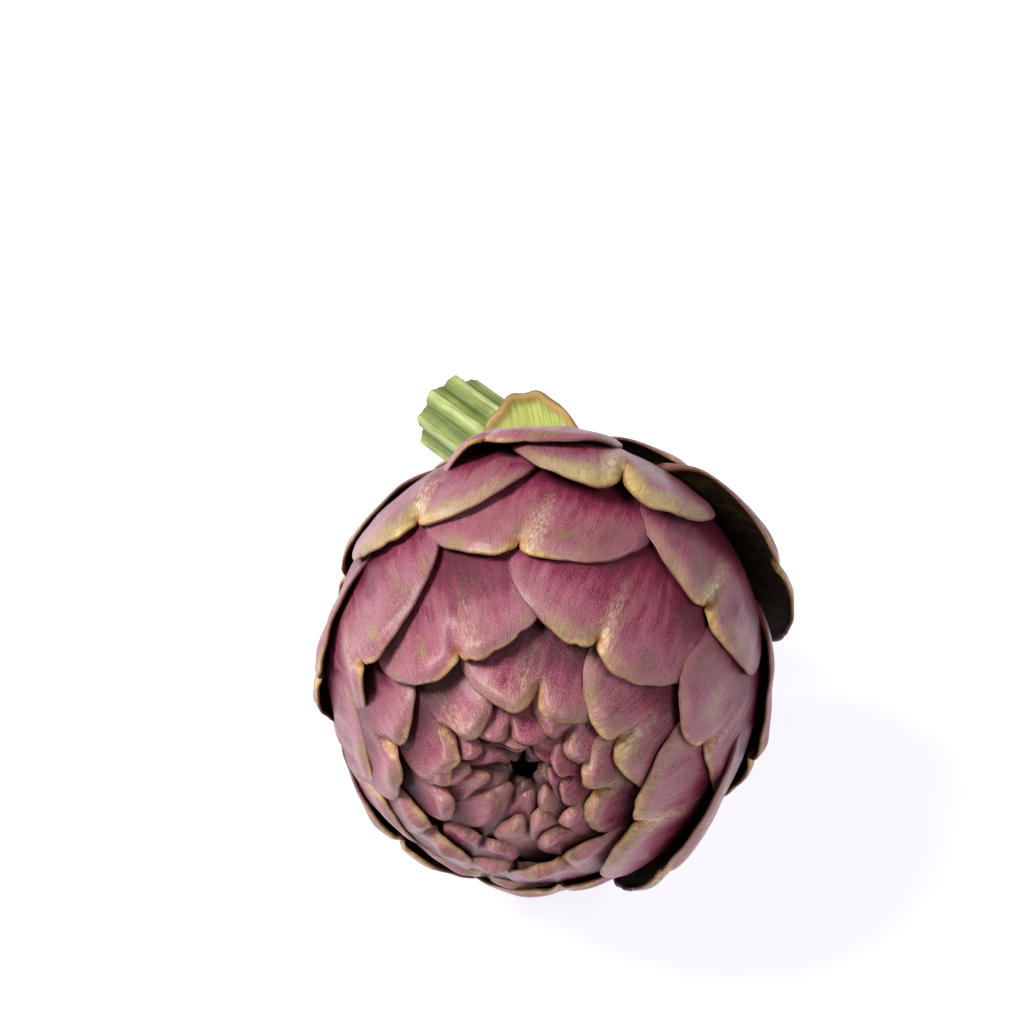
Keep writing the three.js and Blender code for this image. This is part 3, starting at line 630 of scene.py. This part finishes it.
def relief(index, x, y, v, size, from_rim, waves):
    """The blade's form: puffed lobes, a crease from the notch that turns into a faint keel, slow
    waves lengthwise, and edges that round inwards."""
    fleshy = ramp(PUFFY["from"], PUFFY["full"], index)
    puffy = PUFFY["broad"] + PUFFY["more"] * fleshy
    deep = CREASED["broad"] + CREASED["more"] * fleshy
    top = y - y[-1]
    lobe = np.exp(-(((np.abs(x) / size - LOBE["aside"]) / LOBE["width"]) ** 2))
    lobe = lobe * ramp(-LOBE["length"] * size, -LOBE["full"] * size, top)
    lobe = lobe * ramp(0, LOBE["from_rim"] * size, from_rim)
    crease = np.exp(-((x / (CREASE["width"] * size)) ** 2)) * ramp(-CREASE["length"] * size, 0, y)
    keel = np.exp(-((x / (KEEL["width"] * size)) ** 2))
    keel = keel * ramp(-KEEL["starts"] * size, -KEEL["full"] * size, y)
    keel = keel * (1 - ramp(-KEEL["fades"] * size, -KEEL["gone"] * size, y))
    slow = 0
    for kind, (first, second) in ((SLOW_WAVES, waves[3:5]), (SHORT_WAVES, waves[5:7])):
        wave = np.sin(kind["across"] * x / size + first) * np.sin(kind["along"] * y + second)
        slow = slow + kind["height"] * wave
    curl = RIM_CURL["depth"] * size * (1 + BUDWARD["curl"] * budward(index))
    curled = curl * ramp(RIM_CURL["width"] * size, 0, from_rim) ** RIM_CURL["power"]
    slow = slow * ramp(WAVES_RISE["from"], WAVES_RISE["full"], v)
    return size * (puffy * lobe - deep * crease + KEEL["height"] * keel + slow) - curled


def bract(index, us, vs):
    """The points and values of one purple bract, first its outer face and then its inner one."""
    u, v = np.meshgrid(us, vs)
    chance = np.random.default_rng(FIRST_SEED + index)
    waves = chance.uniform(0, 2 * math.pi, 8)
    x, y, size = bract_outline(index, u, v)
    x, y = wavering(index, x, y, v, size, chance, waves)
    from_rim = lies_from_rim(x, y)

    # Rays from the head's centre to the bract's points.
    azimuth = math.radians(FIRST_TURN + GOLDEN_TURN * index + departs(index, "turn"))
    tip = tip_angle(index)
    radius = float(envelope(tip))
    skew = math.radians(departs(index, "skew"))
    aside, ahead = x * math.cos(skew) - y * math.sin(skew), x * math.sin(skew) + y * math.cos(skew)
    polar = math.radians(tip) - ahead / radius
    middle = [np.sin(polar) * math.cos(azimuth), np.sin(polar) * math.sin(azimuth), np.cos(polar)]
    sideways = np.array([-math.sin(azimuth), math.cos(azimuth), 0])
    ray = np.stack(middle, -1) * np.cos(aside / radius)[..., None]
    ray = ray + sideways * np.sin(aside / radius)[..., None]
    angle = np.degrees(np.arccos(np.clip(ray[..., 2], -1, 1)))

    # How far out the bract lies on them.
    wide = half_width(index) / HALF_WIDTH["outer"]
    surface = envelope(angle) - covered_depth(index - index_at(angle))
    stand = departs(index, "lift") + TIP_STAND["off"] * (wide + BUDWARD["stand"] * budward(index))
    surface = surface + stand * ramp(TIP_STAND["from"], 1, v)
    surface = surface + departs(index, "flare") * ramp(FLARES_FROM, 1, v)
    surface = surface - SUNKEN_BUD["depth"] * ramp(SUNKEN_BUD["from"], SUNKEN_BUD["full"], index)
    fold = departs(index, "fold")
    folded = ramp(0, FOLD["width"], x * math.copysign(1, fold)) * ramp(FOLD["from"], FOLD["full"], v)
    surface = surface - abs(fold) * folded + relief(index, x, y, v, size, from_rim, waves)

    root, edge = LEAF_THICKNESS["root"], LEAF_THICKNESS["edge"]
    thickness = root + (edge - root) * ramp(LEAF_THICKNESS["thins_from"], LEAF_THICKNESS["to"], v)
    thickness = thickness * (LEAF_THICKNESS["small"] + (1 - LEAF_THICKNESS["small"]) * size)
    to_edge = 1 - np.minimum(from_rim / LEAF_THICKNESS["round"], 1)
    round_edge = np.sqrt(np.clip(1 - to_edge**2, 0.03, 1))
    points = []
    for face in (0, 1):
        depth = thickness * (1 - round_edge) / 2 + face * thickness * round_edge
        flat = (ray * (surface - depth)[..., None]).reshape(-1, 3)
        points.append(placed(leaned(flat)))

    # What the skin goes by: the place on the blade in millimetres, and what is the bract's own.
    less = USUAL_GILDING["less"] * ramp(USUAL_GILDING["from"], USUAL_GILDING["full"], index)
    gilded = departs(index, "gilded", USUAL_GILDING["broad"] - less)
    values = {
        "across": 0.5 * (x + u * half_width(index)),
        "along": -y,
        "from_rim": from_rim,
        "from_notch": np.hypot(x, y),
        "sideward": np.abs(u),
        "number": index,
        "chance": chance.uniform(0, 1),
        "gilded": gilded,
    }
    values = {k: np.tile(np.broadcast_to(a, x.shape).ravel(), 2) for k, a in values.items()}
    values["inner_face"] = np.repeat([0.0, 1.0], x.size)
    return np.concatenate(points), values, u.shape


def bract_group(name, numbers, across_lines, along_lines):
    """One piece of several purple bracts, which replaces the head's solid."""
    piece = make_piece(name, *joined(bract(index, across_lines, along_lines) for index in numbers))
    piece.data.materials.append(bract_skin)
    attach(piece, "root")
    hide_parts("head")


# Leathery bract skin: satin under a thin waxy coat, deep plum where later bracts covered it, which
# is partly painted shade beside their rims, and dusty rose towards the tip, dotted with fine cream
# specks, with cream flecks above the notch, olive patches on the lobes and a golden rim beside the
# notch that thins out along the lobes. Towards the bud these marks grow fainter, and painted shade
# darkens the creases, the feet of the bud's bracts and the innermost bracts round the hole. The
# inner face is dark olive-brown fibres over a near-black painted shade, so that open bracts look
# nearly black.
# Deep plum of the covered skin: the bract's own colour, partly painted shade where it shows beside the rims
# above.
PLUM = "5f0c2c"
ROSE = "8a2049"
DUSTY = "a15c6e"
LOBE_TAN = "a07069"
LOBE_GOLD = "b5a673"
BLOOM = "83566c"
WEATHERED = "7d4542"
GOLD = "e2c570"
GOLD_TAN = "b8884a"
RIM_BROWN = "6b3d28"
OLIVE = "8c7c3c"
CREAM = "eddcae"
STUB_RED = "a04a36"
# A brown-black painted shade for the bud's creases and feet and round the hole.
SHADE_BROWN = "2c1a18"
# The inner face is mostly a near-black painted shade, with olive fibres of its own.
INNER_SHADE = "20150e"
INNER_OLIVE = "4b431e"
GRAIN_SIZE = 1.92
PATTERN_SHIFT = 90
FLECK_LINE_WAVERS = -4
MARKS_FADE = {"from": 6.4, "full": 20}
GOLD_EDGE = {"outside": 1.2, "inside": -0.2, "most": 0.9}
WAX = {"Coat Weight": 0.3, "Coat Roughness": 0.28, "Coat IOR": 1.4}

# How wide and long each pattern of the skin is, and how finely it is broken up. Real fibres are
# finer, and are drawn 0.4 mm apart so that they show.
PATTERNS = {
    "fibres": (0.4, 3.5, 3),
    "streaks": (1.8, 14, 4),
    "flecks": (0.36, 1.4, 5),
    "patches": (6, 7, 4),
    "broad": (13, 18, 5),
    "specks": (0.22, 0.33, 3),
}

# Distances in millimetres, and the relief, that the patterns make uneven: where each starts, what
# is added, and how much of each pattern.
UNEVEN = {
    "covered": ("along", 40, {"streaks": -24, "patches": -12, "broad": -44, "in_bud": 6}),
    "from_tan": ("from_rim", 0, {"patches": -7, "gilded": -1.8}),
    "from_gold": ("from_rim", -2.5, {"patches": 2.6, "flecks": 2.4}),
    "beside_midline": ("across", -3.5, {"chance": 7}),
    "relief": ("specks", 0, {"fibres": 0.5, "grain": 0.8}),
}

# Shares of the skin's marks, the gold's breadth and the gloss: what each goes by, from where to
# where, and its value at both ends.
SHARES = {
    # Rosy and dusty lift the plum only where a bract is free, so its covered part stays dark, partly as
    # painted shade.
    "rosy": ("covered", 21, 10, 0, 1),
    "dusty": ("covered", 14, 2, 0, 1),
    "free": ("covered", 17, 6, 0.1, 1),
    "near_tip": ("along", 9, 1, 0, 1),
    "weathered": ("broad", 0.5, 0.68, 0, 0.65),
    "bloom": ("sideward", 0.5, 1, 0, 0.5),
    "bloom_in_bud": ("in_bud", 0, 1, 1, 0.2),
    "tan": ("from_tan", 0, -3.5, 0, 1),
    "tan_near_notch": ("from_notch", 26, 10, 0.2, 1),
    "tan_if_gilded": ("gilded", 0, 1.3, 0.15, 0.85),
    "tan_in_bud": ("in_bud", 0, 1, 1, 0.85),
    "golden_tan": ("gilded", 0.5, 1.2, 0, 1),
    "tints_in_bud": ("in_bud", 0, 1, 1, 0.3),
    "olive": ("patches", 0.56, 0.7, 0, 0.7),
    "light_fibre": ("fibres", 0.5, 0.75, 0, 0.45),
    "dark_fibre": ("fibres", 0.5, 0.28, 0, 0.45),
    "speck": ("specks", 0.52, 0.72, 0, 1),
    "specks_near_tip": ("along", 26, 2, 0.02, 0.3),
    "specks_in_bud": ("in_bud", 0, 1, 1, 0.85),
    "fleck": ("flecks", 0.42, 0.66, 0.08, 0.95),
    "flecks_if_gilded": ("gilded", 0.2, 0.9, 0.2, 1),
    "flecks_in_line": ("off_line", 1.3, -1.9, 0, 1),
    "flecks_above_notch": ("along", 16, 3, 0, 1),
    "flecks_in_bud": ("number", 8, 11.2, 1, 0.4),
    "lining": ("fibres", 0.45, 0.75, 0, 1),
    "gold_width": ("from_notch", 14, 3, 0.1, 1.5),
    "gold_width_in_bud": ("in_bud", 0, 1, 1, 0.4),
    "gold_width_if_gilded": ("gilded", 0, 1.3, 0.4, 1.7),
    "gold_near_notch": ("from_notch", 14, 5, 0.08, 1),
    "gold_in_bud": ("in_bud", 0, 1, 1, 0.4),
    "pale_gold": ("grain", 0.4, 0.6, 0, 1),
    "browned": ("from_rim", 0.45, 0.08, 0, 1.2),
    "stub": ("from_notch", 1.2, 0.5, 0, 0.7),
    # The next three shares place painted shade: on the bud's midline creases near the tip, the feet of its
    # bracts, and the innermost bracts round the hole.
    "crease": ("off_midline", 0.7, 0.1, 0, 0.7),
    "shaded": ("along", 3.5, 9, 0, 0.85),
    "hole_shade": ("number", 28, 35.2, 0, 0.9),
    "gloss": ("grain", 0.3, 0.7, 0.34, 0.5),
}

bract_skin, tree = empty_material("leathery_bract_skin")
names = ("across", "along", "from_rim", "from_notch", "sideward", "number", "chance", "gilded", "inner_face")
at = {n: add_node(tree, "Attribute", attribute_name=n, out=2) for n in names}
shift = add_node(tree, "Math", {0: at["chance"], 1: PATTERN_SHIFT}, operation="MULTIPLY")
for name, (width, length, detail) in PATTERNS.items():
    x = add_node(tree, "Math", {0: at["across"], 1: 1 / width}, operation="MULTIPLY")
    y = add_node(tree, "Math", {0: at["along"], 1: 1 / length}, operation="MULTIPLY")
    place = add_node(tree, "CombineXYZ", {0: x, 1: y, 2: shift})
    at[name] = add_node(tree, "TexNoise", {"Vector": place, "Scale": 1.0, "Detail": detail})
object_place = add_node(tree, "TexCoord", out=3)
grain = {"Vector": object_place, "Scale": 1000 / GRAIN_SIZE, "Detail": 5.0}
at["grain"] = add_node(tree, "TexNoise", grain)
in_bud = {0: at["number"], 1: MARKS_FADE["from"], 2: MARKS_FADE["full"]}
at["in_bud"] = add_node(tree, "MapRange", in_bud)
at["off_midline"] = add_node(tree, "Math", {0: at["across"]}, operation="ABSOLUTE")
for name, (start, more, weights) in UNEVEN.items():
    at[name] = add_node(tree, "Math", {0: at[start], 1: more}, operation="ADD")
    for pattern, weight in weights.items():
        at[name] = add_node(tree, "Math", {0: at[pattern], 1: weight, 2: at[name]}, operation="MULTIPLY_ADD")

# Flecks lie along a line beside the midline, on either side by chance.
off_line = add_node(tree, "Math", {0: at["beside_midline"]}, operation="ABSOLUTE")
off_line = {0: at["streaks"], 1: FLECK_LINE_WAVERS, 2: off_line}
at["off_line"] = add_node(tree, "Math", off_line, operation="MULTIPLY_ADD")
for name, (by, *ends) in SHARES.items():
    at[name] = add_node(tree, "MapRange", {0: at[by]} | dict(enumerate(ends, 1)))

# The golden rim is as broad as the notch, the bud and the bract's gilding let it be.
gold_width = at["gold_width"]
for other in ("gold_width_in_bud", "gold_width_if_gilded"):
    gold_width = add_node(tree, "Math", {0: gold_width, 1: at[other]}, operation="MULTIPLY")
gold = add_node(tree, "Math", {0: at["from_gold"], 1: gold_width}, operation="DIVIDE")
gold = {0: gold, 1: GOLD_EDGE["outside"], 2: GOLD_EDGE["inside"], 4: GOLD_EDGE["most"]}
at["gold"] = add_node(tree, "MapRange", gold)
tint = add_node(tree, "Math", {0: at["golden_tan"], 1: at["tints_in_bud"]}, operation="MULTIPLY")
mixed = {}
for name, share, one, other in (
    ("tan", tint, LOBE_TAN, LOBE_GOLD),
    ("lining", at["lining"], INNER_SHADE, INNER_OLIVE),
    ("gold", at["pale_gold"], GOLD_TAN, GOLD),
):
    pair = {0: share, 6: colour(one), 7: colour(other)}
    mixed[name] = add_node(tree, "Mix", pair, out=2, data_type="RGBA")

# The skin in layers, from plum up: the colour of each, and the shares multiplied for it.
# The tan and the golden tan are broadest beside the notch, a thin brown line runs along the edge,
# and the stub of the spine in the notch is red.
layers = (
    (colour(ROSE), "rosy"),
    (colour(DUSTY), "dusty"),
    (colour(WEATHERED), "weathered", "free"),
    (colour(BLOOM), "bloom", "patches", "free", "bloom_in_bud"),
    (mixed["tan"], "tan", "near_tip", "tan_near_notch", "tan_if_gilded", "tan_in_bud"),
    (colour(OLIVE), "olive", "near_tip", "tints_in_bud"),
    (colour(DUSTY), "light_fibre", "free"),
    (colour(PLUM), "dark_fibre"),
    (colour(CREAM), "speck", "specks_near_tip", "specks_in_bud"),
    (colour(CREAM), "fleck", "flecks_if_gilded", "flecks_in_line", "flecks_above_notch", "flecks_in_bud"),
    (mixed["lining"], "inner_face"),
    (mixed["gold"], "gold", "gold_near_notch", "gold_in_bud"),
    (colour(RIM_BROWN), "browned", "patches"),
    (colour(STUB_RED), "stub", "tints_in_bud"),
    # Painted shade in the bud's creases and feet, and round the hole.
    (colour(SHADE_BROWN), "crease", "in_bud", "near_tip"),
    (colour(SHADE_BROWN), "shaded", "in_bud"),
    (colour(SHADE_BROWN), "hole_shade"),
)
skin = colour(PLUM)
for over, first, *others in layers:
    share = at[first]
    for other in others:
        share = add_node(tree, "Math", {0: share, 1: at[other]}, operation="MULTIPLY")
    skin = add_node(tree, "Mix", {0: share, 6: skin, 7: over}, out=2, data_type="RGBA")

raised = add_node(tree, "Bump", {"Height": at["relief"], "Strength": 0.9, "Distance": 0.0003})
satin = {"Base Color": skin, "Roughness": at["gloss"], "Normal": raised, "IOR": 1.4}
shader = add_node(tree, "BsdfPrincipled", satin | WAX)
add_node(tree, "OutputMaterial", {"Surface": shader})

broad_across = halved(both_sides(BROAD_ACROSS))
bract_group("outer_purple_bracts", OUTER, broad_across, np.array(BROAD_ALONG))


# Middle purple bracts.
# The broad scales that show most, from the head's widest part up to the ring round the bud.
# They are the same leaves as the outer ones, less dried at the rim and closer to each other.

MIDDLE = range(-7, 9)
bract_group("middle_purple_bracts", MIDDLE, broad_across, np.array(BROAD_ALONG))


# Bud bracts.
# The small, fleshy, tightly folded scales of the bud. Their lobes are puffy, with creases darkened by
# painted shade and clefts between them, and the innermost, darkened by painted shade, turn down into
# the hole at the tip.

BUD = range(9, 36)
BUD_ACROSS = (0, 0.04, 0.1, 0.18, 0.28, 0.4, 0.52, 0.64, 0.74, 0.83, 0.9, 0.95, 0.98, 1)
BUD_ALONG = (0, 0.15, 0.28, 0.4, 0.5, 0.58, 0.65, 0.71, 0.77, 0.82, 0.86, 0.9, 0.93, 0.955, 0.975, 0.99, 1)
bud_across, bud_along = halved(both_sides(BUD_ACROSS)), halved(np.array(BUD_ALONG))
bract_group("bud_purple_bracts", BUD, bud_across, bud_along)


# Bud heart.
# What lies under the bracts: the folded inner leaves over the choke. Only dark slits of it show,
# between open bracts and in the hole at the tip, and rosy ones among the feet of the outer bracts.

CORE = {"depth": 4.4, "deeper": 7, "full": 40, "fades": 95, "columns": 96}
CORE_RINGS = np.arange(1.0, 165.0, 3)
CORE_ROSY = {"from": 95, "full": 130}
FOLD_SIZE = 1.54
# A near-black painted shade for the heart, which shows only in dark slits and the hole.
HEART_SHADE = "2a1016"

core_rings = []
at_turn = np.linspace(0, 2 * math.pi, CORE["columns"], endpoint=False)
for polar in CORE_RINGS:
    deeper = CORE["deeper"] * (1 - ramp(CORE["full"], CORE["fades"], polar))
    reach = float(envelope(polar)) - CORE["depth"] - deeper
    away, high = reach * math.sin(math.radians(polar)), reach * math.cos(math.radians(polar))
    core_rings.append(np.stack([away * np.cos(at_turn), away * np.sin(at_turn), 0 * at_turn + high], -1))
heart_faces, number = tube_faces(len(core_rings), CORE["columns"])
heart_faces += [number[0].tolist(), number[-1][::-1].tolist()]
heart_points = placed(leaned(np.concatenate(core_rings)))
rosy_part = np.repeat(ramp(CORE_ROSY["from"], CORE_ROSY["full"], CORE_RINGS), CORE["columns"])
heart = make_piece("bud_heart", heart_points, heart_faces, {"towards_stem": rosy_part})

# Folded leaf flesh: plum mixed by lengthwise folds with a near-black painted shade, so that it looks dull
# plum-brown in the slits and the hole, and rosy near the stem.
folded_flesh, tree = empty_material("folded_leaf_flesh")
object_place = add_node(tree, "TexCoord", out=3)
folds = add_node(tree, "TexNoise", {"Vector": object_place, "Scale": 1000 / FOLD_SIZE, "Detail": 3.0})
flesh = add_node(tree, "Mix", {0: folds, 6: colour(HEART_SHADE), 7: colour(PLUM)}, out=2, data_type="RGBA")
towards_stem = add_node(tree, "Attribute", attribute_name="towards_stem", out=2)
flesh = add_node(tree, "Mix", {0: towards_stem, 6: flesh, 7: colour(ROSE)}, out=2, data_type="RGBA")
raised = add_node(tree, "Bump", {"Height": folds, "Strength": 0.8, "Distance": 0.0005})
shader = add_node(
    tree, "BsdfPrincipled", {"Base Color": flesh, "Roughness": 0.6, "Normal": raised, "IOR": 1.45}
)
add_node(tree, "OutputMaterial", {"Surface": shader})
heart.data.materials.append(folded_flesh)
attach(heart, "root")
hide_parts("head")


# Floor.
# A plain sheet of matt white studio paper, which the artichoke lies on. It glows a little, so that
# it stays nearly white round a faint shadow. Sizes from here on are in metres.

FLOOR_HALF = 12.0
PAPER_GREY = "a3a4a8"
PAPER_GLOW = "f8f8ff"
GLOW_STRENGTH = 0.84

corners = [(x * FLOOR_HALF, y * FLOOR_HALF, 0) for x, y in ((-1, -1), (1, -1), (1, 1), (-1, 1))]
sheet = bpy.data.meshes.new("paper_floor")
sheet.from_pydata(corners, [], [(0, 1, 2, 3)])
floor = bpy.data.objects.new("paper_floor", sheet)
bpy.context.scene.collection.objects.link(floor)
matt_paper, tree = empty_material("matt_white_paper")
paper = {"Base Color": colour(PAPER_GREY), "Roughness": 0.9, "Emission Color": colour(PAPER_GLOW)}
shader = add_node(tree, "BsdfPrincipled", paper | {"Emission Strength": GLOW_STRENGTH})
add_node(tree, "OutputMaterial", {"Surface": shader})
sheet.materials.append(matt_paper)


# Light and camera.
# Soft studio light: a dim white room, a broad lamp above and to the left, and a weaker one to the
# right. The camera looks down on the head from the front and has it low in its frame.

WORLD_STRENGTH = 0.1
LAMPS = (
    {"name": "broad_lamp", "place": (-0.75, -0.1, 0.9), "size": 0.5, "watts": 18.5},
    {"name": "right_lamp", "place": (0.7, -0.5, 0.9), "size": 0.6, "watts": 5.5},
)

# The way from the head's centre to the camera, and its aim's shift from there.
CAMERA_WAY = (0.0891, -0.6419, 0.7618)
CAMERA_DISTANCE = 0.47
CAMERA_RIGHT = (0.9909, 0.1376, 0)
CAMERA_UP = (-0.1048, 0.7548, 0.6479)
AIM_RIGHT = -0.00704
AIM_UP = 0.033
FOCAL_LENGTH = 77.87
SENSOR_WIDTH = 36

world = bpy.data.worlds.new("white_room")
world.use_nodes = True
world.node_tree.nodes["Background"].inputs["Color"].default_value = (1, 1, 1, 1)
world.node_tree.nodes["Background"].inputs["Strength"].default_value = WORLD_STRENGTH
bpy.context.scene.world = world

head_centre = Vector(HEAD_CENTRE / 1000)
for facts in LAMPS:
    lamp = bpy.data.lights.new(facts["name"], "AREA")
    lamp.shape = "DISK"
    lamp.size = facts["size"]
    lamp.energy = facts["watts"]
    holder = bpy.data.objects.new(facts["name"], lamp)
    holder.location = facts["place"]
    holder.rotation_euler = (head_centre - Vector(facts["place"])).to_track_quat("-Z", "Y").to_euler()
    bpy.context.scene.collection.objects.link(holder)

lens = bpy.data.cameras.new("camera")
lens.lens = FOCAL_LENGTH
lens.sensor_width = SENSOR_WIDTH
lens.clip_start = 0.05
camera = bpy.data.objects.new("camera", lens)
camera.location = head_centre + CAMERA_DISTANCE * Vector(CAMERA_WAY)
aim = head_centre + AIM_UP * Vector(CAMERA_UP) + AIM_RIGHT * Vector(CAMERA_RIGHT)
camera.rotation_euler = (aim - camera.location).to_track_quat("-Z", "Y").to_euler()
bpy.context.scene.collection.objects.link(camera)
bpy.context.scene.camera = camera
bpy.context.scene.view_settings.view_transform = "Standard"
